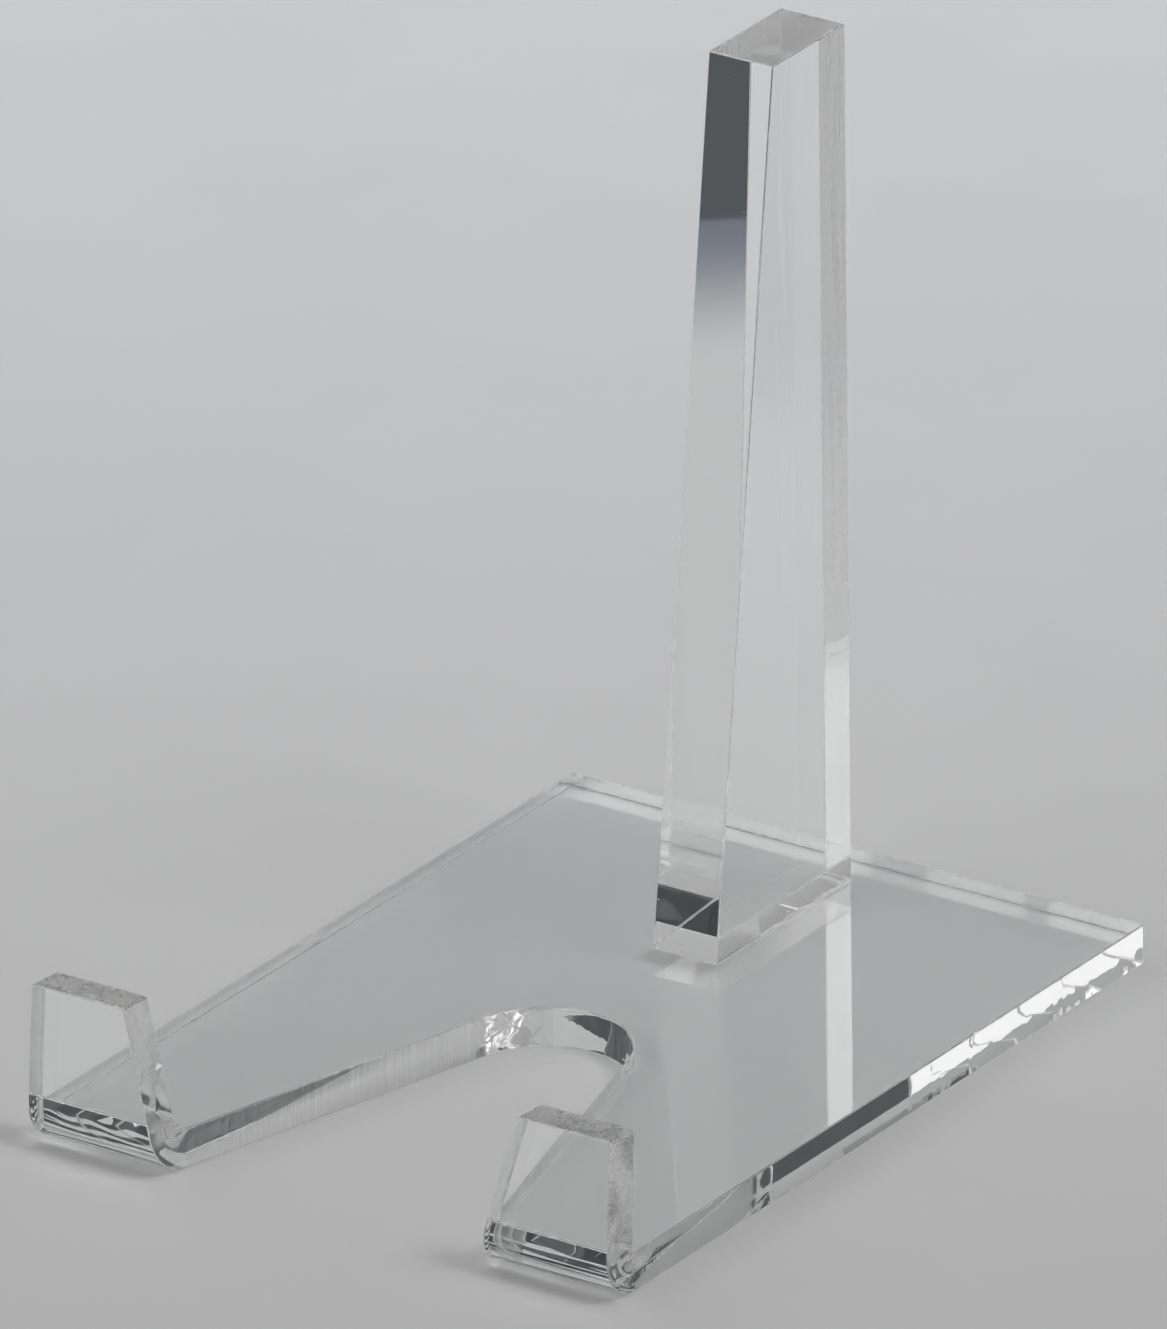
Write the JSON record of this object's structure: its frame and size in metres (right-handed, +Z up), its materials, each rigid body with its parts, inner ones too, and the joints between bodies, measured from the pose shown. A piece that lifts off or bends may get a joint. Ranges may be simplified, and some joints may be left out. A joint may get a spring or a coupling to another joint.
{
  "type": "plate display stand",
  "caption": "Clear acrylic plate stand: a notched sheet base bent up into front lips, with a solid tapered post cemented upright near its rear edge.",
  "frame": {"origin": "on the table, under the middle of the base's footprint", "axes": "+X to the stand's side, +Y from the lips to the post, +Z up"},
  "size_m": [0.1016, 0.1422, 0.1439],
  "materials": {
    "clear_sheet": "polished",
    "clear_block": "polished",
    "clear_cement": "gloss"
  },
  "bodies": {
    "root": {"base_plate": "clear_sheet", "back_post": "clear_block", "cement_film": "clear_cement"}
  },
  "joints": []
}
